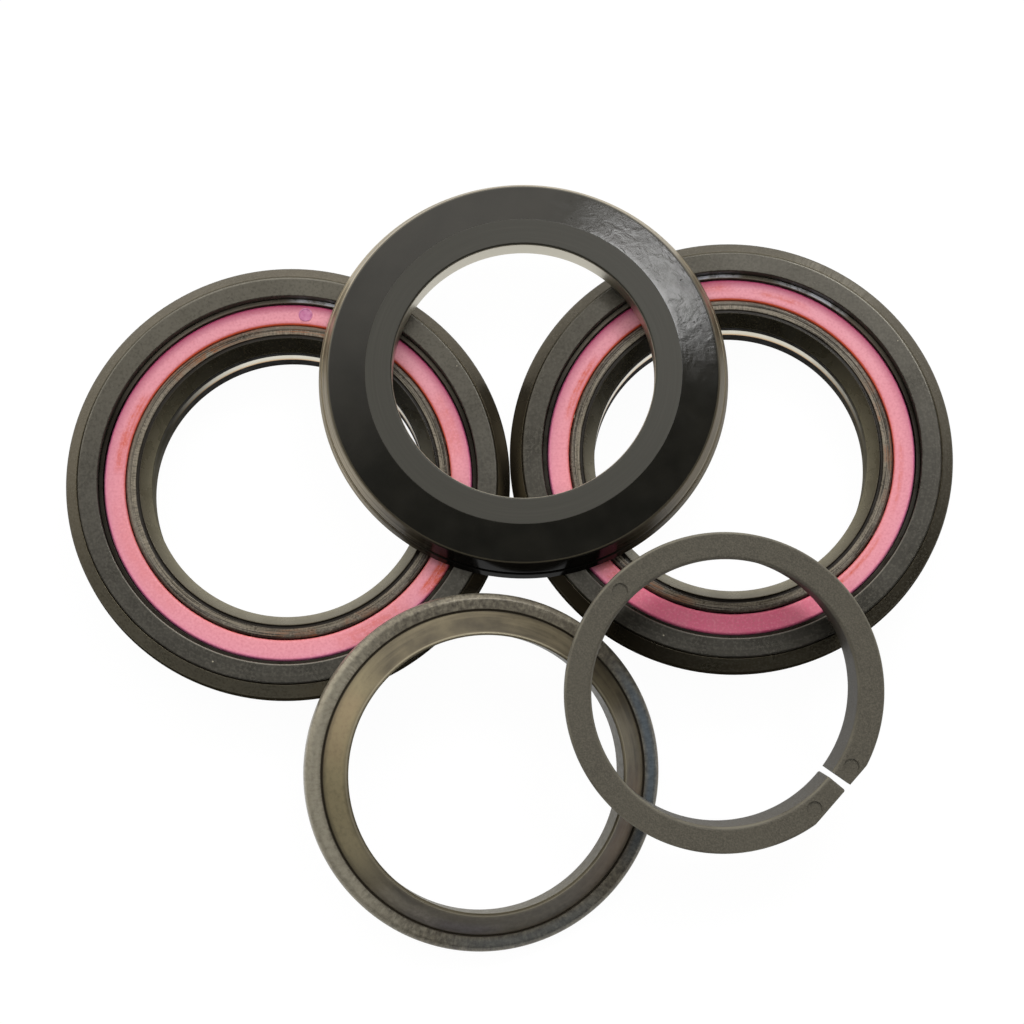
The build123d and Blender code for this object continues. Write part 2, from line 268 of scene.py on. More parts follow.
def sink_marks(piece):
    """Sinks the shallow round moulding marks into the top of the wedge ring."""
    for direction in MARK_DIRECTIONS:
        angle = math.radians(direction)
        bpy.ops.object.select_all(action="DESELECT")
        bpy.ops.mesh.primitive_cylinder_add(
            vertices=48, radius=MARK_RADIUS * MM, depth=2 * MARK_DEPTH * MM,
            location=Vector((MARK_PLACE * math.cos(angle), MARK_PLACE * math.sin(angle), RING_TOP)) * MM)
        cutter = bpy.context.object
        only_selected(piece)
        sink = piece.modifiers.new("mark", "BOOLEAN")
        sink.operation = "DIFFERENCE"
        sink.object = cutter
        bpy.ops.object.modifier_apply(modifier=sink.name)
        bpy.data.objects.remove(cutter)
    return piece


def moulded_dot(name, direction, radius):
    """Small round gate mark with a raised rim, as moulding leaves on a seal."""
    angle = math.radians(direction)
    bpy.ops.object.select_all(action="DESELECT")
    bpy.ops.mesh.primitive_cylinder_add(
        vertices=40, radius=GATE_RADIUS * MM, depth=GATE_HEIGHT * MM,
        location=Vector((radius * math.cos(angle), radius * math.sin(angle), GATE_LEVEL)) * MM)
    piece = named(bpy.context.object, name)
    for item in (*piece.data.vertices, *piece.data.edges, *piece.data.polygons):
        item.select = False
    for face in piece.data.polygons:
        face.select = face.normal.z > 0.9
    bpy.ops.object.mode_set(mode="EDIT")
    bpy.ops.mesh.select_mode(type="FACE")
    for inset, rise in GATE_RIM:
        bpy.ops.mesh.inset(thickness=inset * MM, depth=rise * MM)
    bpy.ops.object.mode_set(mode="OBJECT")
    return piece


pieces = {}
for side in SIDES:
    pieces[f"{side}_cup"] = finish_mesh(turned(f"{side}_cup_turned", CUP_PROFILE), places[f"{side}_cup"])
    pieces[f"{side}_outer_race"] = finish_mesh(
        turned(f"{side}_outer_race_ground", OUTER_RACE_PROFILE), places[f"{side}_bearing"])
    pieces[f"{side}_inner_race"] = finish_mesh(
        turned(f"{side}_inner_race_ground", INNER_RACE_PROFILE), places[f"{side}_bearing"])
    pieces[f"{side}_top_seal"] = finish_mesh(
        turned(f"{side}_top_seal_moulded", SEAL_PROFILE), places[f"{side}_seal"])
pieces["top_cover"] = finish_mesh(turned("top_cover_turned", COVER_PROFILE), places["cover"])
pieces["crown_race"] = finish_mesh(turned("crown_race_turned", RACE_PROFILE), places["race"])
pieces["compression_ring"] = finish_mesh(
    sink_marks(wedge_ring("compression_ring_moulded")), places["ring"], 30.0)

BODIES = {"lower_inner_race": "lower_inner", "upper_inner_race": "upper_inner"}
for node_name, piece in pieces.items():
    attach(piece, BODIES.get(node_name, "set"))
    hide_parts(node_name)

gate_mark = finish_mesh(moulded_dot("lower_seal_gate_mark", 85.0, 19.15), places["lower_seal"])
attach(gate_mark, "set")


# Node work that the materials share

MATH = "ShaderNodeMath"
VECTOR = "ShaderNodeVectorMath"
NOISE = "ShaderNodeTexNoise"
CELLS = "ShaderNodeTexVoronoi"
RANGE = "ShaderNodeMapRange"
MIX = "ShaderNodeMix"
RAMP = "ShaderNodeValToRGB"
BUMP = "ShaderNodeBump"
# Settings that many nodes have in common
TIMES = {"operation": "MULTIPLY"}
PLUS = {"operation": "ADD"}
LARGER = {"operation": "MAXIMUM"}
SCALED = {"operation": "SCALE"}
COLOUR = {"data_type": "RGBA", "output": 2}


def linear(hex_colour):
    """Linear colour of an sRGB hex value, with full alpha."""
    values = [int(hex_colour[at:at + 2], 16) / 255 for at in (1, 3, 5)]
    return [v / 12.92 if v <= 0.04045 else ((v + 0.055) / 1.055) ** 2.4 for v in values] + [1.0]


def add(tree, kind, inputs=None, output=0, stops=(), **settings):
    """Adds a node with its settings, inputs and colour stops, and gives one of its outputs."""
    made = tree.nodes.new(kind)
    for key, value in settings.items():
        setattr(made, key, value)
    for key, value in (inputs or {}).items():
        if isinstance(value, bpy.types.NodeSocket):
            tree.links.new(value, made.inputs[key])
        else:
            made.inputs[key].default_value = linear(value) if isinstance(value, str) else value
    if stops:
        elements = made.color_ramp.elements
        while len(elements) < len(stops):
            elements.new(1.0)
        for element, (at, colour) in zip(elements, stops):
            element.position = at
            element.color = linear(colour)
    return made.outputs[output] if len(made.outputs) else made


def new_material(name, shader_inputs):
    """Material of one principled shader with its fixed values, and its node tree and shader."""
    material = bpy.data.materials.new(name)
    material.use_nodes = True
    tree = material.node_tree
    tree.nodes.clear()
    surface = add(tree, "ShaderNodeBsdfPrincipled", shader_inputs)
    add(tree, "ShaderNodeOutputMaterial", {"Surface": surface})
    return material, tree, surface.node


def join(tree, shader, sockets):
    """Links finished patterns to the shader's inputs."""
    for key, socket in sockets.items():
        tree.links.new(socket, shader.inputs[key])


def lathe_spot(tree, place):
    """Where a point is on a turned piece, in millimetres from its foot and axis."""
    local = add(tree, "ShaderNodeMapping", {
        "Vector": add(tree, "ShaderNodeTexCoord", output="Object"),
        "Location": place.to_translation(), "Rotation": place.to_euler()}, vector_type="TEXTURE")
    local = add(tree, VECTOR, {0: local, "Scale": 1 / MM}, **SCALED)
    flat = add(tree, VECTOR, {0: local, 1: (1, 1, 0)}, **TIMES)
    radius = add(tree, VECTOR, {0: flat}, output="Value", operation="LENGTH")
    height = add(tree, "ShaderNodeSeparateXYZ", {0: local}, output="Z")
    return {
        "local": local, "radius": radius, "height": height,
        "way": add(tree, VECTOR, {0: flat}, operation="NORMALIZE"),
        "along": add(tree, MATH, {0: height, 1: 0.6, 2: radius}, operation="MULTIPLY_ADD")}


def tool_rings(tree, spot, pitch, arcs):
    """Rings that a lathe tool leaves, a pitch apart, that come and go round the piece."""
    return add(tree, NOISE, {
        "Vector": add(tree, VECTOR, {0: spot["way"], "Scale": arcs}, **SCALED),
        "W": add(tree, MATH, {0: spot["along"], 1: pitch}, operation="DIVIDE"),
        "Scale": 1.0, "Detail": 2.0, "Roughness": 0.65}, noise_dimensions="4D")


# Middle radius of the rings, which turns a width round a ring into a turn
MEAN_RADIUS = 17.0


def cross_strokes(tree, spot, width, length):
    """Short strokes across the ring, of a width round it and a length along its section."""
    return add(tree, NOISE, {
        "Vector": add(tree, VECTOR, {0: spot["way"], "Scale": MEAN_RADIUS / width}, **SCALED),
        "W": add(tree, MATH, {0: spot["along"], 1: length}, operation="DIVIDE"),
        "Scale": 1.0, "Detail": 2.0, "Roughness": 0.6}, noise_dimensions="4D")


def between(tree, value, low, high, soft):
    """One where a value is between two limits, fading over a soft width."""
    rise = add(tree, RANGE, {0: value, 1: low - soft, 2: low + soft})
    fall = add(tree, RANGE, {0: value, 1: high + soft, 2: high - soft})
    return add(tree, MATH, {0: rise, 1: fall}, **TIMES)


def arc_patch(tree, spot, direction, half_angle, low, high, soft):
    """One in a stretch of a ring round a direction in degrees, between two radii."""
    angle = math.radians(direction)
    facing = add(tree, VECTOR, {0: spot["way"], 1: (math.cos(angle), math.sin(angle), 0)},
                 output="Value", operation="DOT_PRODUCT")
    stretch = add(tree, RANGE, {
        0: facing, 1: math.cos(math.radians(half_angle)), 2: math.cos(math.radians(0.3 * half_angle))},
        interpolation_type="SMOOTHSTEP")
    width = between(tree, spot["radius"], low, high, soft)
    return add(tree, MATH, {0: stretch, 1: width}, **TIMES)


def specks(tree, spot, spacing, size, share):
    """Sparse dots of a size, in a share of cells a spacing apart."""
    cells = {"Vector": spot["local"], "Scale": 1.0 / spacing}
    near = add(tree, CELLS, cells, output="Distance")
    pick = add(tree, CELLS, cells, output="Color")
    dot = add(tree, RANGE, {0: near, 1: 0.5 * size / spacing, 2: 0.3 * size / spacing})
    draw = add(tree, "ShaderNodeSeparateColor", {0: pick})
    chosen = add(tree, MATH, {0: draw, 1: share}, operation="LESS_THAN")
    return add(tree, MATH, {0: dot, 1: chosen}, **TIMES)


# Materials

def anodised_cup(side, shades, rubs_and_highlights):
    """Black anodised aluminium off a lathe: a satin flat, glossy olive-black chamfers, rubbed spots, dust,
    and painted light and shade by side.
    """
    material, tree, shader = new_material(f"{side}_cup_black_anodised", {"IOR": 1.77})
    spot = lathe_spot(tree, places[f"{side}_cup"])
    # The real tool pitch is near 0.1 mm and is drawn twice as coarse, so that it shows.
    rings = tool_rings(tree, spot, 0.2, 1.3)
    patches = add(tree, NOISE, {"Vector": spot["local"], "Scale": 0.2, "Detail": 4.0})
    grain = add(tree, NOISE, {"Vector": spot["local"], "Scale": 4.0, "Detail": 2.0})
    chamfer = add(tree, RANGE, {0: spot["radius"], 1: 23.0, 2: 23.1})
    flat = add(tree, RAMP, {0: patches}, stops=shades["flat"])
    edge = add(tree, RAMP, {0: patches}, stops=shades["chamfer"])
    colour = add(tree, MIX, {0: chamfer, 6: flat, 7: edge}, **COLOUR)
    # Painted light: a painted sheen lightens the flat on the far side, and painted shade darkens it on the
    # near side.
    far_flat_painted_sheen = arc_patch(tree, spot, 95.0, 105.0, 20.9, 23.0, 0.05)
    far_flat_painted_sheen = add(tree, MATH, {0: far_flat_painted_sheen, 1: shades["painted_sheen"]}, **TIMES)
    colour = add(tree, MIX, {0: far_flat_painted_sheen, 6: colour, 7: "#615d51"}, **COLOUR)
    near_flat_painted_shade = add(tree, MATH, {0: arc_patch(tree, spot, -80.0, 95.0, 20.9, 23.0, 0.05), 1: 0.5}, **TIMES)
    colour = add(tree, MIX, {0: near_flat_painted_shade, 6: colour, 7: "#21211e"}, **COLOUR)
    # Painted light: the chamfer is lighter on the near side.
    near = add(tree, MATH, {0: arc_patch(tree, spot, -100.0, 80.0, 23.22, 24.5, 0.04), 1: 0.55}, **TIMES)
    colour = add(tree, MIX, {0: near, 6: colour, 7: shades["near"]}, **COLOUR)
    turned_marks = add(tree, RANGE, {0: rings, 1: 0.42, 2: 0.75, 4: 0.4})
    colour = add(tree, MIX, {0: turned_marks, 6: colour, 7: "#4b4840"}, **COLOUR)
    grained = add(tree, RANGE, {0: grain, 1: 0.5, 2: 0.68, 4: 0.4})
    colour = add(tree, MIX, {0: grained, 6: colour, 7: "#58564f"}, **COLOUR)
    pitted = add(tree, RANGE, {0: grain, 1: 0.48, 2: 0.34, 4: 0.4})
    colour = add(tree, MIX, {0: pitted, 6: colour, 7: "#1a1916"}, **COLOUR)
    # Painted shade: the groove between flat and chamfer is near black on the near side.
    near_groove_painted_shade = add(tree, MATH, {0: arc_patch(tree, spot, -100.0, 125.0, 23.0, 23.2, 0.02), 1: 0.9}, **TIMES)
    colour = add(tree, MIX, {0: near_groove_painted_shade, 6: colour, 7: "#0a0908"}, **COLOUR)
    # Rubs, and painted edge highlights along the edges of the mouth, the flat and the groove.
    scratch = cross_strokes(tree, spot, 0.25, 1.6)
    for direction, half_angle, low, high, most, evenness in rubs_and_highlights:
        rub_and_highlight = arc_patch(tree, spot, direction, half_angle, low, high, 0.04)
        worn = add(tree, RANGE, {0: scratch, 1: 0.3, 2: 0.7, 3: evenness * most, 4: most})
        rub_and_highlight = add(tree, MATH, {0: rub_and_highlight, 1: worn}, **TIMES)
        colour = add(tree, MIX, {0: rub_and_highlight, 6: colour, 7: "#918e84"}, **COLOUR)
    # Painted shade on the chamfer where it faces the other cup.
    painted_shade_toward_cup = arc_patch(tree, spot, shades["painted_shade_toward_cup"], 70.0, 23.05, 24.6, 0.04)
    colour = add(tree, MIX, {0: painted_shade_toward_cup, 6: colour, 7: "#0d0b08"}, **COLOUR)
    dust = specks(tree, spot, 2.6, 0.2, 0.16)
    colour = add(tree, MIX, {0: dust, 6: colour, 7: "#a49e8c"}, **COLOUR)
    # The flange's outer wall and the mouth are dull, so that they stay dark over a white floor.
    wall = add(tree, RANGE, {0: spot["radius"], 1: 24.40, 2: 24.46})
    wall = add(tree, MATH, {0: wall, 1: add(tree, RANGE, {0: spot["height"], 1: 7.4, 2: 7.3})}, **LARGER)
    mouth = add(tree, RANGE, {0: spot["radius"], 1: 21.0, 2: 20.95})
    colour = add(tree, MIX, {0: wall, 6: colour, 7: "#322e24"}, **COLOUR)
    dull = add(tree, RANGE, {0: mouth, 3: 0.5, 4: 0.12})
    dull = add(tree, MATH, {0: dull, 1: add(tree, RANGE, {0: wall, 3: 1.0, 4: 0.0})}, **TIMES)
    tint = add(tree, MIX, {0: chamfer, 6: "#f4efe4", 7: "#f3e3c0"}, **COLOUR)
    satin = add(tree, RANGE, {0: patches, 1: 0.3, 2: 0.7, 3: 0.24, 4: 0.32})
    bump = add(tree, BUMP, {"Height": rings, "Strength": 0.6, "Distance": 0.004 * MM})
    join(tree, shader, {"Base Color": colour, "Roughness": satin, "Normal": bump, "Specular Tint": tint,
                        "Specular IOR Level": dull})
    return material


def blackened_race(side, glint):
    """Blackened bearing steel: a lip between two dark lines, with painted light that makes it grey-brown on
    the far side and painted glints in one or two stretches.
    """
    material, tree, shader = new_material(f"{side}_outer_race_blackened_steel", {"Metallic": 0.4})
    spot = lathe_spot(tree, places[f"{side}_bearing"])
    rings = tool_rings(tree, spot, 0.15, 1.0)
    film = add(tree, NOISE, {"Vector": spot["local"], "Scale": 0.7, "Detail": 4.0})
    colour = add(tree, RAMP, {0: rings}, stops=((0.3, "#1c1812"), (0.6, "#272219"), (0.8, "#3a3429")))
    # Painted light: the lip is grey-brown on the far side.
    far_painted_light = arc_patch(tree, spot, 88.0, 75.0, 20.0, 21.5, 0.02)
    colour = add(tree, MIX, {0: far_painted_light, 6: colour, 7: "#7d7668"}, **COLOUR)
    # Painted glints: reflections of a window on the lip.
    for direction, half_angle in glint:
        bright = arc_patch(tree, spot, direction, half_angle, 20.5, 20.92, 0.05)
        uneven = add(tree, RANGE, {0: film, 1: 0.3, 2: 0.55})
        bright = add(tree, MATH, {0: bright, 1: uneven}, **TIMES)
        colour = add(tree, MIX, {0: bright, 6: colour, 7: "#eef1fa"}, **COLOUR)
    roughness = add(tree, RANGE, {0: film, 1: 0.3, 2: 0.7, 3: 0.15, 4: 0.5})
    join(tree, shader, {"Base Color": colour, "Roughness": roughness})
    return material


UNSHADED_BORE = "#6a6553"


def unshaded_side(tree, spot, shaded_side):
    """One on the side of a bore that is opposite the painted shade."""
    return arc_patch(tree, spot, shaded_side + 180.0, 138.0, 13.0, 17.0, 0.1)


def greased_race(side, wiped, rusty, shaded_side, reach):
    """Ground bearing steel under old grease: a grey-brown land with fine rings, wiping strokes and rust, and
    painted shade in its grooves, chamfer and bore, with a painted reflection in the bore.
    """
    material, tree, shader = new_material(f"{side}_inner_race_greased_steel", {})
    spot = lathe_spot(tree, places[f"{side}_bearing"])
    across = add(tree, RANGE, {0: spot["radius"], 1: 15.0, 2: 18.0})
    # The ramp's dark stops are painted shade in the groove inside the land, at the step on the land and in
    # the gap at its rim.
    colour = add(tree, RAMP, {0: across}, stops=(
        (0.03, "#857f6a"), (0.40, "#6b6554"), (0.445, "#5a5446"), (0.46, "#1c1813"), (0.59, "#1f1a15"),
        (0.605, "#807869"), (0.76, "#797164"), (0.775, "#3b352d"), (0.79, "#635c53"), (0.91, "#5f574d"),
        (0.945, "#241f1a")))
    land = between(tree, spot["radius"], 16.75, 17.8, 0.03)
    uneven = add(tree, NOISE, {"Vector": spot["local"], "Scale": 0.45, "Detail": 5.0, "Distortion": 0.6})
    # Ground rings are finer than 0.05 mm and are drawn 0.13 mm apart, so that they show.
    rings = tool_rings(tree, spot, 0.13, 2.2)
    ground = add(tree, MATH, {0: land, 1: add(tree, RANGE, {0: rings, 1: 0.52, 2: 0.4, 4: 0.9})}, **TIMES)
    colour = add(tree, MIX, {0: ground, 6: colour, 7: "#221d18"}, **COLOUR)
    polished = add(tree, MATH, {0: land, 1: add(tree, RANGE, {0: rings, 1: 0.53, 2: 0.7, 4: 0.5})}, **TIMES)
    colour = add(tree, MIX, {0: polished, 6: colour, 7: "#a0978a"}, **COLOUR)
    grit = add(tree, NOISE, {"Vector": spot["local"], "Scale": 5.0, "Detail": 2.0})
    gritty = add(tree, MATH, {0: land, 1: add(tree, RANGE, {0: grit, 1: 0.57, 2: 0.72, 4: 0.5})}, **TIMES)
    colour = add(tree, MIX, {0: gritty, 6: colour, 7: "#9a9182"}, **COLOUR)
    gummy = add(tree, MATH, {0: land, 1: add(tree, RANGE, {0: grit, 1: 0.44, 2: 0.32, 4: 0.7})}, **TIMES)
    colour = add(tree, MIX, {0: gummy, 6: colour, 7: "#2a2319"}, **COLOUR)
    # Wiping strokes are near 0.1 mm wide and are drawn at 0.16 mm, so that they show.
    strokes = cross_strokes(tree, spot, 0.16, 0.6)
    for direction, half_angle in wiped:
        bare = arc_patch(tree, spot, direction, half_angle, 16.75, 17.8, 0.04)
        bare = add(tree, MATH, {0: bare, 1: 0.35}, **TIMES)
        colour = add(tree, MIX, {0: bare, 6: colour, 7: "#8a8274"}, **COLOUR)
        wipe = arc_patch(tree, spot, direction, half_angle, 16.78, 17.32, 0.04)
        light = add(tree, RANGE, {0: strokes, 1: 0.5, 2: 0.68, 4: 0.65})
        light = add(tree, MATH, {0: wipe, 1: light}, **TIMES)
        colour = add(tree, MIX, {0: light, 6: colour, 7: "#a39988"}, **COLOUR)
        dark = add(tree, RANGE, {0: strokes, 1: 0.48, 2: 0.34, 4: 0.6})
        dark = add(tree, MATH, {0: wipe, 1: dark}, **TIMES)
        colour = add(tree, MIX, {0: dark, 6: colour, 7: "#332d25"}, **COLOUR)
    for direction, half_angle in rusty:
        stain = arc_patch(tree, spot, direction, half_angle, 16.8, 17.8, 0.1)
        streak = add(tree, RANGE, {0: rings, 1: 0.45, 2: 0.62})
        stain = add(tree, MATH, {0: stain, 1: streak}, **TIMES)
        stain = add(tree, MATH, {0: stain, 1: add(tree, RANGE, {0: uneven, 1: 0.42, 2: 0.6})}, **TIMES)
        colour = add(tree, MIX, {0: stain, 6: colour, 7: "#8a532c"}, **COLOUR)
    # Painted shade darkens the chamfer and bore on one side, and a painted reflection there makes a bright
    # band in the bore with an amber line under it.
    chamfer_painted_shade = arc_patch(tree, spot, shaded_side, 95.0, 15.16, 16.36, 0.02)
    colour = add(tree, MIX, {0: chamfer_painted_shade, 6: colour, 7: "#29261d"}, **COLOUR)
    bore = between(tree, spot["radius"], 14.0, 15.13, 0.015)
    unshaded = unshaded_side(tree, spot, shaded_side)
    bore_painted_shade_and_olive = add(tree, MIX, {0: unshaded, 6: "#14110c", 7: UNSHADED_BORE}, **COLOUR)
    colour = add(tree, MIX, {0: bore, 6: colour, 7: bore_painted_shade_and_olive}, **COLOUR)
    # The band's colours are a painted reflection of the white floor.
    bright = arc_patch(tree, spot, shaded_side, reach, 14.0, 15.13, 0.015)
    band = add(tree, RAMP, {0: add(tree, RANGE, {0: spot["height"], 1: BAND_FOOT, 2: BAND_TOP})}, stops=(
        (0.0, "#9a6c38"), (0.14, "#c4a26a"), (0.3, "#cfc6b0"), (0.75, "#d6d0bf"), (1.0, "#c3c0b2")))
    colour = add(tree, MIX, {0: bright, 6: colour, 7: band}, **COLOUR)
    chamfer = between(tree, spot["radius"], 15.15, 16.37, 0.03)
    # Dust that sticks to the oil, in grains near 0.1 mm drawn at 0.2 mm so that they show
    dusty = add(tree, RANGE, {0: grit, 1: 0.52, 2: 0.72, 4: 0.45})
    dusty = add(tree, MATH, {0: chamfer, 1: dusty}, **TIMES)
    colour = add(tree, MIX, {0: dusty, 6: colour, 7: "#5d5741"}, **COLOUR)
    lint = add(tree, MATH, {0: specks(tree, spot, 0.8, 0.15, 0.25), 1: chamfer}, **TIMES)
    colour = add(tree, MIX, {0: lint, 6: colour, 7: "#8a836c"}, **COLOUR)
    metal = add(tree, MIX, {0: bore, 2: add(tree, RANGE, {0: chamfer, 3: 0.12, 4: 0.5}), 3: bright})
    shine = add(tree, RANGE, {0: bore, 3: 0.5, 4: 0.04})
    roughness = add(tree, RANGE, {0: uneven, 1: 0.3, 2: 0.7, 3: 0.2, 4: 0.38})
    matte = add(tree, MATH, {0: bore, 1: bright}, operation="SUBTRACT", use_clamp=True)
    roughness = add(tree, MATH, {0: matte, 1: 0.5, 2: roughness}, operation="MULTIPLY_ADD")
    relief = add(tree, MATH, {0: strokes, 1: land}, **TIMES)
    bump = add(tree, BUMP, {"Height": relief, "Strength": 0.5, "Distance": 0.015 * MM})
    join(tree, shader, {"Base Color": colour, "Roughness": roughness, "Normal": bump, "Metallic": metal,
                        "Specular IOR Level": shine})
    return material


def painted_shade_bore(side, shaded_side):
    """Painted shade for an inner race's bore: matte black on the shaded side and olive on the side away from
    it.
    """
    material, tree, shader = new_material(f"{side}_inner_race_bore_painted_shade", {"Specular IOR Level": 0.05})
    spot = lathe_spot(tree, places[f"{side}_bearing"])
    film = add(tree, NOISE, {"Vector": spot["local"], "Scale": 0.8, "Detail": 4.0})
    colour = add(tree, RAMP, {0: film}, stops=((0.35, "#0d0b08"), (0.7, "#1f1a13")))
    unshaded = unshaded_side(tree, spot, shaded_side)
    colour = add(tree, MIX, {0: unshaded, 6: colour, 7: UNSHADED_BORE}, **COLOUR)
    roughness = add(tree, RANGE, {0: film, 1: 0.3, 2: 0.7, 3: 0.6, 4: 0.85})
    join(tree, shader, {"Base Color": colour, "Roughness": roughness})
    return material


def pink_rubber(name, place, stains, shade_tints):
    """Moulded silicone rubber: satin pink, a red line inside and rusty grease, with painted shade that turns
    its rim magenta and painted light on its far side.
    """
    material, tree, shader = new_material(name, {"IOR": 1.43})
    spot = lathe_spot(tree, place)
    across = add(tree, RANGE, {0: spot["radius"], 1: 17.95, 2: 20.32})
    # Across the seal: a red line inside, pink, and magenta towards the rim, which is painted shade from the
    # cup's mouth.
    colour = add(tree, RAMP, {0: across}, stops=(
        (0.012, "#e24c30"), (0.03, "#e8705c"), (0.05, "#ea8f98"), (0.22, "#ec98a5"), (0.78, "#e896a8"),
        (0.9, "#e286a4"), (0.96, "#c25f93"), (1.0, "#6a3068")))
    # Painted light: the far side is paler.
    pale = add(tree, MATH, {0: arc_patch(tree, spot, 88.0, 90.0, 18.4, 19.7, 0.3), 1: 0.25}, **TIMES)
    colour = add(tree, MIX, {0: pale, 6: colour, 7: "#f9b6c6"}, **COLOUR)
    # Painted shade: the compression ring's shadow on the upper seal, painted a deeper pink.
    for direction, half_angle, strength in shade_tints:
        shade_tint = arc_patch(tree, spot, direction, half_angle, 17.9, 20.3, 0.05)
        shade_tint = add(tree, MATH, {0: shade_tint, 1: strength}, **TIMES)
        colour = add(tree, MIX, {0: shade_tint, 6: colour, 7: "#f0608c"}, **COLOUR)
    patches = add(tree, NOISE, {"Vector": spot["local"], "Scale": 0.33, "Detail": 5.0})
    mottled = add(tree, RANGE, {0: patches, 1: 0.45, 2: 0.7, 4: 0.35})
    colour = add(tree, MIX, {0: mottled, 6: colour, 7: "#e792a4"}, **COLOUR)
    streaks = tool_rings(tree, spot, 0.3, 14.0)
    streaked = add(tree, RANGE, {0: streaks, 1: 0.5, 2: 0.8, 4: 0.25})
    colour = add(tree, MIX, {0: streaked, 6: colour, 7: "#e98f9f"}, **COLOUR)
    dabs = add(tree, NOISE, {"Vector": spot["local"], "Scale": 1.1, "Detail": 3.0, "Distortion": 0.5})
    runs = tool_rings(tree, spot, 0.25, 3.0)
    for direction, half_angle, low, high, strength in stains:
        stain = arc_patch(tree, spot, direction, half_angle, low, high, 0.2)
        ragged = add(tree, MATH, {0: dabs, 1: runs}, **PLUS)
        ragged = add(tree, RANGE, {0: ragged, 1: 0.8, 2: 1.25, 3: 0.25 * strength, 4: strength})
        stain = add(tree, MATH, {0: stain, 1: ragged}, **TIMES)
        colour = add(tree, MIX, {0: stain, 6: colour, 7: "#d65430"}, **COLOUR)
    red_dots = add(tree, MATH, {0: specks(tree, spot, 1.6, 0.24, 0.16), 1: 0.5}, **TIMES)
    colour = add(tree, MIX, {0: red_dots, 6: colour, 7: "#dd6f62"}, **COLOUR)
    roughness = add(tree, RANGE, {0: patches, 1: 0.3, 2: 0.7, 3: 0.42, 4: 0.56})
    pebbles = add(tree, NOISE, {"Vector": spot["local"], "Scale": 3.5, "Detail": 3.0})
    sunk = add(tree, RANGE, {0: pebbles, 1: 0.5, 2: 0.34, 4: 0.45})
    colour = add(tree, MIX, {0: sunk, 6: colour, 7: "#d97f8c"}, **COLOUR)
    raised = add(tree, RANGE, {0: pebbles, 1: 0.52, 2: 0.68, 4: 0.4})
    colour = add(tree, MIX, {0: raised, 6: colour, 7: "#f5abb8"}, **COLOUR)
    # Painted shade turns the rim a deep magenta on the far side, and painted light makes the inner lip a
    # clear red there.
    rim = add(tree, MATH, {0: arc_patch(tree, spot, 88.0, 100.0, 19.78, 21.0, 0.55), 1: 0.95}, **TIMES)
    colour = add(tree, MIX, {0: rim, 6: colour, 7: "#a8265a"}, **COLOUR)
    lip = arc_patch(tree, spot, 88.0, 110.0, 17.0, 18.11, 0.04)
    colour = add(tree, MIX, {0: lip, 6: colour, 7: "#ff6c48"}, **COLOUR)
    bump = add(tree, BUMP, {"Height": pebbles, "Strength": 0.5, "Distance": 0.012 * MM})
    join(tree, shader, {"Base Color": colour, "Roughness": roughness, "Normal": bump})
    return material


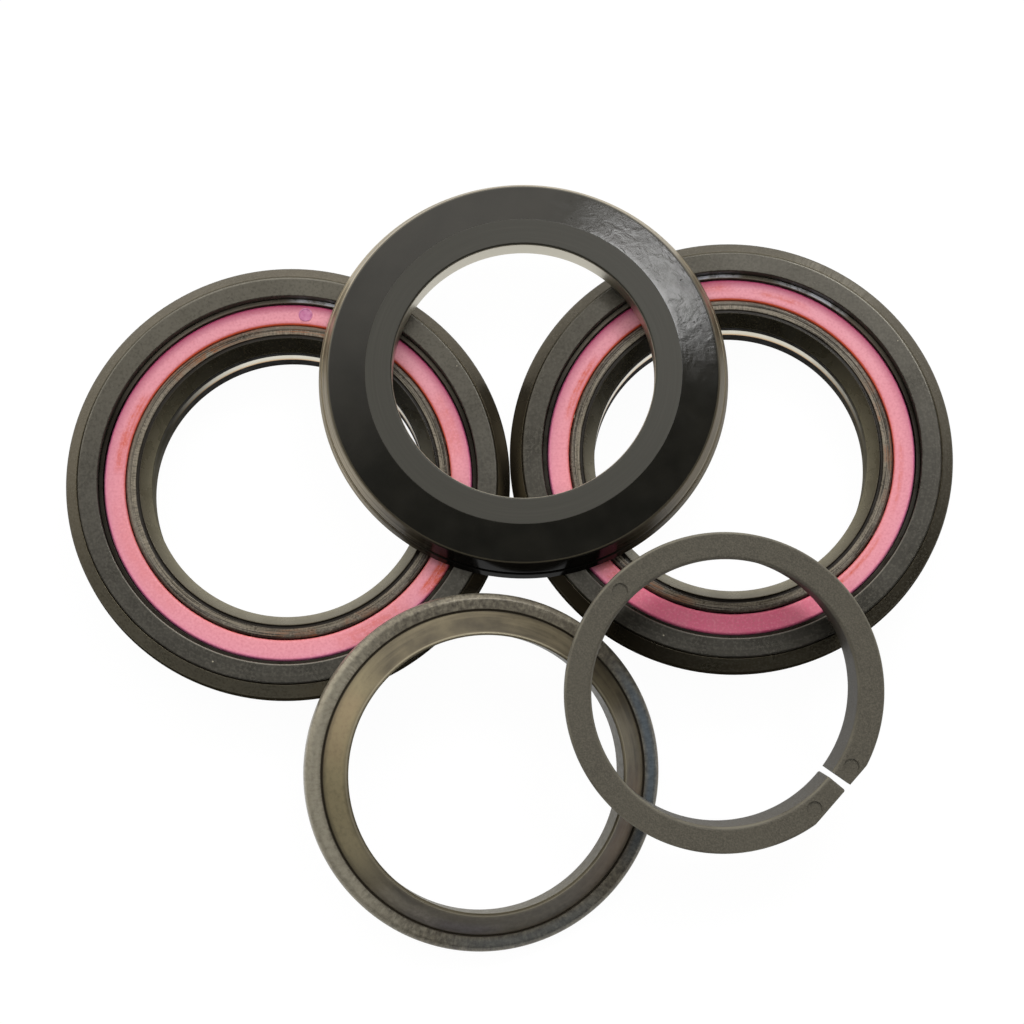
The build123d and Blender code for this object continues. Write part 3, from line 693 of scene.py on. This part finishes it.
def lacquered_cover():
    """Black anodised aluminium, glossy on its cone and satin on its flat, with pale sides, painted shade on
    the side that faces the viewer, and a bare bore.
    """
    material, tree, shader = new_material("top_cover_black_lacquer", {"IOR": 1.55})
    spot = lathe_spot(tree, places["cover"])
    top = add(tree, RANGE, {0: spot["height"], 1: 2.4, 2: 2.7})
    cone = add(tree, MATH, {0: between(tree, spot["radius"], 17.42, 21.6, 0.04), 1: top}, **TIMES)
    bore = between(tree, spot["radius"], 13.0, 14.52, 0.02)
    side_wall = between(tree, spot["radius"], 21.58, 23.0, 0.03)
    rings = tool_rings(tree, spot, 0.2, 1.2)
    patches = add(tree, NOISE, {"Vector": spot["local"], "Scale": 0.25, "Detail": 5.0})
    satin = add(tree, RAMP, {0: rings}, stops=((0.3, "#2f2e27"), (0.55, "#33322b"), (0.8, "#3a3831")))
    gloss = add(tree, RAMP, {0: patches}, stops=((0.3, "#161613"), (0.7, "#22211d")))
    colour = add(tree, MIX, {0: cone, 6: satin, 7: gloss}, **COLOUR)
    lines = tool_rings(tree, spot, 0.05, 1.0)
    grooved = add(tree, RAMP, {0: lines}, stops=((0.35, "#6f6753"), (0.5, "#a0957e"), (0.65, "#c2b7a0")))
    browned = add(tree, MATH, {0: arc_patch(tree, spot, -12.0, 80.0, 21.5, 23.5, 0.03), 1: 0.6}, **TIMES)
    grooved = add(tree, MIX, {0: browned, 6: grooved, 7: "#5f5644"}, **COLOUR)
    colour = add(tree, MIX, {0: side_wall, 6: colour, 7: grooved}, **COLOUR)
    # Painted shade: the side wall that faces the viewer is made dark, glossy and weakly reflecting.
    near_side_painted_shade = arc_patch(tree, spot, -90.0, 62.0, 21.5, 23.5, 0.03)
    colour = add(tree, MIX, {0: near_side_painted_shade, 6: colour, 7: "#0e0d0b"}, **COLOUR)
    colour = add(tree, MIX, {0: bore, 6: colour, 7: "#c6c1b1"}, **COLOUR)
    rim = add(tree, MATH, {0: between(tree, spot["radius"], 21.44, 21.58, 0.03), 1: 0.4}, **TIMES)
    colour = add(tree, MIX, {0: rim, 6: colour, 7: "#6d6757"}, **COLOUR)
    dust = specks(tree, spot, 1.9, 0.17, 0.3)
    colour = add(tree, MIX, {0: dust, 6: colour, 7: "#aaa492"}, **COLOUR)
    bare = add(tree, MATH, {0: side_wall, 1: add(tree, RANGE, {0: near_side_painted_shade, 3: 0.55, 4: 0.0})}, **TIMES)
    metal = add(tree, MATH, {0: bare, 1: bore}, **LARGER)
    smears = add(tree, NOISE, {"Vector": spot["local"], "Scale": 0.4, "Detail": 6.0, "Distortion": 1.0})
    smeared = add(tree, RANGE, {0: smears, 1: 0.35, 2: 0.75, 3: 0.05, 4: 0.17})
    roughness = add(tree, MIX, {0: cone, 2: 0.42, 3: smeared})
    crazed = arc_patch(tree, spot, 38.0, 48.0, 17.5, 21.6, 0.5)
    roughness = add(tree, MATH, {0: crazed, 1: 0.12, 2: roughness}, operation="MULTIPLY_ADD")
    roughness = add(tree, MIX, {0: near_side_painted_shade, 2: roughness, 3: 0.12})
    shine = add(tree, RANGE, {0: near_side_painted_shade, 3: 0.5, 4: 0.12})
    pits = add(tree, MATH, {0: specks(tree, spot, 0.75, 0.24, 0.3), 1: crazed}, **TIMES)
    shine = add(tree, MATH, {0: shine, 1: add(tree, RANGE, {0: pits, 3: 1.0, 4: 0.1})}, **TIMES)
    # Wrinkles in the lacquer are about 0.7 mm long and break up a window's reflection.
    wrinkles = add(tree, NOISE, {"Vector": spot["local"], "Scale": 0.77, "Detail": 6.0, "Distortion": 1.2})
    wrinkled = add(tree, RANGE, {0: crazed, 3: 0.12, 4: 1.0})
    relief = add(tree, MATH, {0: wrinkles, 1: add(tree, MATH, {0: cone, 1: wrinkled}, **TIMES)}, **TIMES)
    bump = add(tree, BUMP, {"Height": relief, "Strength": 1.0, "Distance": 0.032 * MM})
    fine = add(tree, BUMP, {"Height": rings, "Strength": 0.4, "Distance": 0.003 * MM, "Normal": bump})
    join(tree, shader, {"Base Color": colour, "Roughness": roughness, "Normal": fine, "Metallic": metal,
                        "Specular IOR Level": shine})
    return material


def gunmetal_race(tints_and_light):
    """Hardened steel left from the furnace: a scratched grey ledge and a brown cone with soft tints, painted
    light and a groove in painted shade.
    """
    material, tree, shader = new_material("crown_race_gunmetal_steel", {})
    spot = lathe_spot(tree, places["race"])
    ledge = between(tree, spot["radius"], 17.75, 20.0, 0.03)
    bore = between(tree, spot["radius"], 14.0, 15.06, 0.02)
    patches = add(tree, NOISE, {"Vector": spot["local"], "Scale": 0.35, "Detail": 4.0})
    mottle = add(tree, NOISE, {"Vector": spot["local"], "Scale": 1.8, "Detail": 5.0, "Roughness": 0.65})
    rings = tool_rings(tree, spot, 0.3, 1.6)
    strokes = cross_strokes(tree, spot, 0.2, 0.7)
    rough_ledge = add(tree, RAMP, {0: mottle}, stops=((0.32, "#57524a"), (0.5, "#736d60"), (0.68, "#8f8979")))
    cone = add(tree, RAMP, {0: patches}, stops=((0.3, "#453f33"), (0.5, "#554e3f"), (0.7, "#675f4c")))
    drawn = add(tree, RANGE, {0: rings, 1: 0.42, 2: 0.7, 4: 0.7})
    cone = add(tree, MIX, {0: drawn, 6: cone, 7: "#7d745e"}, **COLOUR)
    cloudy = add(tree, RANGE, {0: mottle, 1: 0.5, 2: 0.3, 4: 0.22})
    cone = add(tree, MIX, {0: cloudy, 6: cone, 7: "#3b352a"}, **COLOUR)
    colour = add(tree, MIX, {0: ledge, 6: cone, 7: rough_ledge}, **COLOUR)
    handled = add(tree, RANGE, {0: arc_patch(tree, spot, 190.0, 85.0, 17.7, 20.0, 0.1), 3: 0.2, 4: 0.7})
    handled = add(tree, MATH, {0: handled, 1: add(tree, RANGE, {0: patches, 1: 0.35, 2: 0.65})}, **TIMES)
    light = add(tree, MATH, {0: ledge, 1: handled}, **TIMES)
    light = add(tree, MATH, {0: light, 1: add(tree, RANGE, {0: strokes, 1: 0.48, 2: 0.72})}, **TIMES)
    colour = add(tree, MIX, {0: light, 6: colour, 7: "#bdb8a9"}, **COLOUR)
    dark = add(tree, MATH, {0: ledge, 1: add(tree, RANGE, {0: strokes, 1: 0.44, 2: 0.28, 4: 0.3})}, **TIMES)
    colour = add(tree, MIX, {0: dark, 6: colour, 7: "#37332b"}, **COLOUR)
    # Heat tints, paler stretches on the left and a bright streak near the viewer, which are painted light,
    # and a darker stretch towards the viewer.
    for direction, half_angle, low, high, tint, strength in tints_and_light:
        tint_and_light = arc_patch(tree, spot, direction, half_angle, low, high, 0.3)
        broken = add(tree, RANGE, {0: mottle, 1: 0.3, 2: 0.55, 3: 0.7 * strength, 4: strength})
        tint_and_light = add(tree, MATH, {0: tint_and_light, 1: broken}, **TIMES)
        colour = add(tree, MIX, {0: tint_and_light, 6: colour, 7: tint}, **COLOUR)
    # Painted shade: the groove is darker than the faces round it.
    groove = between(tree, spot["radius"], 17.52, 17.8, 0.05)
    colour = add(tree, MIX, {0: groove, 6: colour, 7: "#453e32"}, **COLOUR)
    top_edge = add(tree, MATH, {0: between(tree, spot["radius"], 15.16, 15.36, 0.05), 1: 0.6}, **TIMES)
    colour = add(tree, MIX, {0: top_edge, 6: colour, 7: "#a39b85"}, **COLOUR)
    colour = add(tree, MIX, {0: bore, 6: colour, 7: "#625d4d"}, **COLOUR)
    roughness = add(tree, RANGE, {0: mottle, 1: 0.3, 2: 0.7, 3: 0.28, 4: 0.45})
    relief = add(tree, MATH, {0: ledge, 1: strokes}, **TIMES)
    bump = add(tree, BUMP, {"Height": relief, "Strength": 0.6, "Distance": 0.02 * MM})
    fine = add(tree, BUMP, {"Height": rings, "Strength": 0.5, "Distance": 0.006 * MM, "Normal": bump})
    metal = add(tree, RANGE, {0: bore, 3: 0.35, 4: 0.0})
    shine = add(tree, RANGE, {0: bore, 3: 0.5, 4: 0.06})
    join(tree, shader, {"Base Color": colour, "Roughness": roughness, "Normal": fine, "Metallic": metal,
                        "Specular IOR Level": shine})
    return material


def filled_nylon():
    """Glass-filled nylon from a mould: matte charcoal with a fine even grain, rubbed edges and painted shade
    on its inner wall.
    """
    material, tree, shader = new_material("compression_ring_filled_nylon", {"IOR": 1.53})
    spot = lathe_spot(tree, places["ring"])
    # Glass fibres give a grain near 0.1 mm, drawn at 0.18 mm so that it shows.
    grain = add(tree, NOISE, {"Vector": spot["local"], "Scale": 5.5, "Detail": 2.0})
    patches = add(tree, NOISE, {"Vector": spot["local"], "Scale": 0.17, "Detail": 4.0})
    colour = add(tree, RAMP, {0: grain}, stops=((0.3, "#504c43"), (0.5, "#5c584d"), (0.72, "#6b665a")))
    uneven = add(tree, RANGE, {0: patches, 1: 0.45, 2: 0.7, 4: 0.4})
    colour = add(tree, MIX, {0: uneven, 6: colour, 7: "#605c50"}, **COLOUR)
    outer = between(tree, spot["radius"], 17.02, 17.3, 0.06)
    inner = between(tree, spot["radius"], 14.3, 14.5, 0.06)
    rim = add(tree, MATH, {0: outer, 1: inner}, **LARGER)
    rim = add(tree, MATH, {0: rim, 1: add(tree, RANGE, {0: spot["height"], 1: 5.9, 2: 6.3})}, **TIMES)
    rim = add(tree, MATH, {0: rim, 1: add(tree, RANGE, {0: patches, 1: 0.35, 2: 0.6, 4: 0.8})}, **TIMES)
    colour = add(tree, MIX, {0: rim, 6: colour, 7: "#7b7769"}, **COLOUR)
    # Painted shade: the inner wall is darker and reflects less.
    inside = add(tree, RANGE, {0: spot["radius"], 1: 14.32, 2: 14.28})
    colour = add(tree, MIX, {0: inside, 6: colour, 7: "#45413a"}, **COLOUR)
    roughness = add(tree, RANGE, {0: grain, 1: 0.3, 2: 0.7, 3: 0.5, 4: 0.68})
    shine = add(tree, RANGE, {0: inside, 3: 0.5, 4: 0.08})
    bump = add(tree, BUMP, {"Height": grain, "Strength": 0.8, "Distance": 0.03 * MM})
    join(tree, shader, {"Base Color": colour, "Roughness": roughness, "Normal": bump,
                        "Specular IOR Level": shine})
    return material


def bearing_balls(side):
    """Polished bearing steel that a brown smear of grease has dulled."""
    material, tree, shader = new_material(f"{side}_balls_polished_steel", {"Metallic": 1.0})
    spot = lathe_spot(tree, places[f"{side}_bearing"])
    smear = add(tree, NOISE, {"Vector": spot["local"], "Scale": 0.8, "Detail": 3.0})
    colour = add(tree, RAMP, {0: smear}, stops=((0.35, "#8f8b84"), (0.7, "#6d6049")))
    roughness = add(tree, RANGE, {0: smear, 1: 0.3, 2: 0.7, 3: 0.15, 4: 0.4})
    join(tree, shader, {"Base Color": colour, "Roughness": roughness})
    return material


def nylon_cage(side):
    """Natural nylon from a mould under grease: a tan with a soft sheen."""
    material, tree, shader = new_material(f"{side}_ball_cage_nylon", {"IOR": 1.53})
    spot = lathe_spot(tree, places[f"{side}_bearing"])
    stain = add(tree, NOISE, {"Vector": spot["local"], "Scale": 0.5, "Detail": 4.0})
    colour = add(tree, RAMP, {0: stain}, stops=((0.4, "#b3a88c"), (0.7, "#7d6a48")))
    roughness = add(tree, RANGE, {0: stain, 1: 0.3, 2: 0.7, 3: 0.35, 4: 0.55})
    join(tree, shader, {"Base Color": colour, "Roughness": roughness})
    return material


def gate_rubber():
    """The seal's rubber where it was gated: a deeper mauve dimple."""
    material, tree, shader = new_material("lower_seal_gate_rubber", {"IOR": 1.43})
    spot = lathe_spot(tree, places["lower_seal"])
    mottle = add(tree, NOISE, {"Vector": spot["local"], "Scale": 2.0, "Detail": 3.0})
    colour = add(tree, RAMP, {0: mottle}, stops=((0.35, "#c46f9c"), (0.65, "#d38bb0")))
    roughness = add(tree, RANGE, {0: mottle, 1: 0.3, 2: 0.7, 3: 0.3, 4: 0.45})
    join(tree, shader, {"Base Color": colour, "Roughness": roughness})
    return material


def dress(piece, *materials):
    """Gives a new piece its materials."""
    piece.data.materials.clear()
    for material in materials:
        piece.data.materials.append(material)


def blacken_bore(piece, place):
    """Puts the second material, the painted shade, on an inner race's bore above and below its band of
    painted reflection.
    """
    to_local = place.inverted()
    for face in piece.data.polygons:
        spot = to_local @ face.center / MM
        if math.hypot(spot.x, spot.y) < BORE_WALL and not BAND_FOOT < spot.z < BAND_TOP:
            face.material_index = 1


def dress_node(node_name, material):
    """Gives a CAD node its material on the slots that it already has."""
    for slot in frame["nodes"][node_name].material_slots:
        slot.material = material


# Rubs, strokes, stains and painted light by direction in degrees round each axis, 0 to the right and 90
# away from the viewer. Each starts with its direction and half angle. Rubs and edge highlights add two radii,
# strength and evenness, stains two radii and strength, painted shade tints strength, and tints and painted
# light two radii, tint and strength.
# Cup tones by side. The upper cup's darker flat and chamfer are painted shade, and the rest is painted light:
# the far flat's sheen, the near chamfer's light, and the direction of shade where the chamfer faces the other
# cup.
CUP_SHADES = {
    "lower": {"flat": ((0.3, "#32322f"), (0.55, "#3a3936"), (0.75, "#42413c")), "painted_shade_toward_cup": -20.0,
              "painted_sheen": 0.5, "near": "#625f53",
              "chamfer": ((0.3, "#302c21"), (0.55, "#39342a"), (0.75, "#443f32"))},
    "upper": {"flat": ((0.3, "#1f1f1c"), (0.55, "#262522"), (0.75, "#2d2c28")), "painted_shade_toward_cup": 205.0,
              "painted_sheen": 0.3, "near": "#38352b",
              "chamfer": ((0.3, "#1e1b14"), (0.55, "#25221a"), (0.75, "#2e2b21"))},
}
# Rubs on the cups, with painted edge highlights on the edges of the mouth, the flat and the groove.
CUP_RUBS_AND_EDGE_HIGHLIGHTS = {
    "lower": ((-95.0, 75.0, 20.94, 21.08, 0.7, 0.7), (100.0, 34.0, 22.86, 23.0, 0.5, 0.4),
              (155.0, 25.0, 22.9, 23.05, 0.35, 0.2), (95.0, 80.0, 23.02, 23.22, 0.6, 0.9)),
    "upper": ((45.0, 36.0, 22.9, 23.04, 0.8, 0.6), (-70.0, 60.0, 20.94, 21.08, 0.6, 0.7),
              (60.0, 16.0, 23.2, 24.3, 0.35, 0.0), (85.0, 80.0, 23.02, 23.22, 0.6, 0.9)),
}
# Painted glints on each outer race's lip.
LIP_GLINTS = {"lower": ((80.0, 12.0),), "upper": ((63.0, 14.0), (95.0, 10.0))}
# Directions of the painted shade in each inner race's chamfer and bore, and half angles of its band of
# painted reflection.
RACE_SHADED_SIDE = {"lower": 78.0, "upper": 104.0}
BAND_REACH = {"lower": 80.0, "upper": 108.0}
RACE_WIPES = {"lower": ((178.0, 50.0), (80.0, 28.0)), "upper": ((100.0, 24.0),)}
RACE_RUST = {"lower": ((-75.0, 30.0), (120.0, 25.0), (80.0, 20.0)), "upper": ((8.0, 30.0), (-120.0, 20.0))}
SEAL_STAINS = {
    "lower": ((158.0, 12.0, 18.2, 19.0, 1.0), (170.0, 9.0, 18.3, 19.2, 0.8), (-31.0, 12.0, 19.1, 20.4, 1.4),
              (-60.0, 16.0, 18.4, 20.0, 0.5), (-150.0, 26.0, 18.3, 19.6, 0.25),
              (20.0, 14.0, 18.3, 19.6, 0.4)),
    "upper": ((155.0, 14.0, 18.35, 18.9, 1.3), (72.0, 12.0, 18.7, 19.3, 0.6), (-8.0, 16.0, 18.6, 18.95, 0.7),
              (-44.0, 18.0, 18.45, 18.75, 1.2), (97.0, 10.0, 18.9, 20.0, 0.5),
              (-140.0, 20.0, 18.2, 19.6, 0.6)),
}
# Painted shade of the compression ring on the upper seal, as a deeper pink.
SEAL_PAINTED_SHADE_TINTS = {"lower": (), "upper": ((-95.0, 52.0, 0.8),)}
# Heat tints, paler stretches on the left and a bright streak near the viewer, which are painted light, and a
# darker stretch towards the viewer.
RACE_TINTS_AND_PAINTED_LIGHT = (
    (5.0, 42.0, 18.0, 19.0, "#5d7488", 0.6), (-72.0, 34.0, 18.0, 19.1, "#59656e", 0.45),
    (-100.0, 22.0, 16.4, 17.4, "#5f587c", 0.5), (-118.0, 16.0, 16.0, 17.3, "#b0a896", 0.6),
    (165.0, 18.0, 15.7, 17.3, "#84534a", 0.5), (-25.0, 35.0, 15.6, 17.4, "#624731", 0.5),
    (185.0, 55.0, 15.4, 17.4, "#a39877", 0.75), (188.0, 70.0, 17.9, 19.5, "#b4ae9c", 0.75),
    (-85.0, 70.0, 15.3, 17.5, "#3d372c", 0.8))
for side in SIDES:
    dress(pieces[f"{side}_cup"], anodised_cup(side, CUP_SHADES[side], CUP_RUBS_AND_EDGE_HIGHLIGHTS[side]))
    dress(pieces[f"{side}_outer_race"], blackened_race(side, LIP_GLINTS[side]))
    greased = greased_race(side, RACE_WIPES[side], RACE_RUST[side], RACE_SHADED_SIDE[side], BAND_REACH[side])
    dress(pieces[f"{side}_inner_race"], greased, painted_shade_bore(side, RACE_SHADED_SIDE[side]))
    blacken_bore(pieces[f"{side}_inner_race"], places[f"{side}_bearing"])
    dress(pieces[f"{side}_top_seal"],
          pink_rubber(f"{side}_top_seal_pink_rubber", places[f"{side}_seal"], SEAL_STAINS[side],
                      SEAL_PAINTED_SHADE_TINTS[side]))
    dress_node(f"{side}_bottom_seal",
               pink_rubber(f"{side}_bottom_seal_pink_rubber", places[f"{side}_bearing"], (), ()))
    dress_node(f"{side}_balls", bearing_balls(side))
    dress_node(f"{side}_ball_cage", nylon_cage(side))
dress(pieces["top_cover"], lacquered_cover())
dress(pieces["crown_race"], gunmetal_race(RACE_TINTS_AND_PAINTED_LIGHT))
dress(pieces["compression_ring"], filled_nylon())
dress(gate_mark, gate_rubber())


# Floor, light and camera

# The floor lies this far under the pieces' lowest points, in metres.
FLOOR_DROP = 0.00002


def studio_floor():
    """White floor that keeps a soft shadow and shows white to the camera and in reflections."""
    bpy.ops.object.select_all(action="DESELECT")
    bpy.ops.mesh.primitive_plane_add(size=6.0, location=(0, 0, -FLOOR_DROP))
    floor = named(bpy.context.object, "floor")
    bpy.ops.object.transform_apply(location=True, rotation=True, scale=True)
    material = bpy.data.materials.new("floor_white_paper")
    material.use_nodes = True
    tree = material.node_tree
    tree.nodes.clear()
    rays = tree.nodes.new("ShaderNodeLightPath").outputs
    seen = add(tree, MATH, {0: rays["Is Camera Ray"], 1: rays["Is Glossy Ray"]}, **LARGER)
    seen = add(tree, MATH, {0: seen, 1: rays["Is Transmission Ray"]}, **LARGER)
    paper = add(tree, "ShaderNodeBsdfDiffuse", {"Color": "#f4f3f1"})
    shaded = add(tree, "ShaderNodeBsdfDiffuse", {"Color": "#404040"})
    glow = add(tree, "ShaderNodeEmission", {"Color": "#ffffff", "Strength": 0.97})
    white = add(tree, "ShaderNodeAddShader", {0: shaded, 1: glow})
    surface = add(tree, "ShaderNodeMixShader", {0: seen, 1: paper, 2: white})
    add(tree, "ShaderNodeOutputMaterial", {"Surface": surface})
    dress(floor, material)


def studio_world():
    """Light tent that is bright behind the set and dim on the viewer's side; white to the camera."""
    world = bpy.data.worlds.new("studio")
    bpy.context.scene.world = world
    world.use_nodes = True
    tree = world.node_tree
    tree.nodes.clear()
    way = add(tree, "ShaderNodeTexCoord", output="Generated")
    towards = add(tree, VECTOR, {0: way, 1: (-0.25, 1.0, 0.0)}, output="Value", operation="DOT_PRODUCT")
    level = add(tree, RANGE, {0: towards, 1: -0.03, 2: 0.97, 3: 0.04, 4: 1.6},
                interpolation_type="SMOOTHSTEP")
    rays = tree.nodes.new("ShaderNodeLightPath").outputs
    strength = add(tree, MIX, {0: rays["Is Camera Ray"], 2: level, 3: 1.0})
    tent = add(tree, "ShaderNodeBackground", {"Color": "#fffaf0", "Strength": strength})
    add(tree, "ShaderNodeOutputWorld", {"Surface": tent})


def soft_lamp(name, direction, distance, size, power, in_reflections):
    """Area lamp that faces the middle of the set."""
    lamp = bpy.data.lights.new(name, "AREA")
    lamp.shape = "RECTANGLE"
    lamp.size, lamp.size_y = size
    lamp.energy = power
    holder = bpy.data.objects.new(name, lamp)
    bpy.context.scene.collection.objects.link(holder)
    holder.location = Vector(direction).normalized() * distance
    holder.rotation_euler = Vector(direction).to_track_quat("Z", "Y").to_euler()
    holder.visible_glossy = in_reflections


studio_floor()
studio_world()
soft_lamp("overhead", (0.0, 0.05, 1.0), 0.9, (1.2, 1.2), 5.2, False)
soft_lamp("rear_window", (0.285, 0.50, 0.82), 0.8, (0.26, 0.20), 1.3, True)

VIEW_TARGET = Vector((0.2328, 5.6963, 6.0)) * MM
VIEW_ELEVATION = math.radians(76.0)
VIEW_DISTANCE = 388.0 * MM
SENSOR_WIDTH = 36.0
IMAGE_PIXELS = 1024
FOCAL_PIXELS = 3500.0
camera = bpy.data.cameras.new("camera")
camera.lens = FOCAL_PIXELS / IMAGE_PIXELS * SENSOR_WIDTH
camera.sensor_width = SENSOR_WIDTH
camera_holder = bpy.data.objects.new("camera", camera)
bpy.context.scene.collection.objects.link(camera_holder)
camera_holder.location = VIEW_TARGET + VIEW_DISTANCE * Vector(
    (0, -math.cos(VIEW_ELEVATION), math.sin(VIEW_ELEVATION)))
camera_holder.rotation_euler = (math.pi / 2 - VIEW_ELEVATION, 0, 0)
bpy.context.scene.camera = camera_holder
bpy.context.scene.view_settings.view_transform = "Standard"
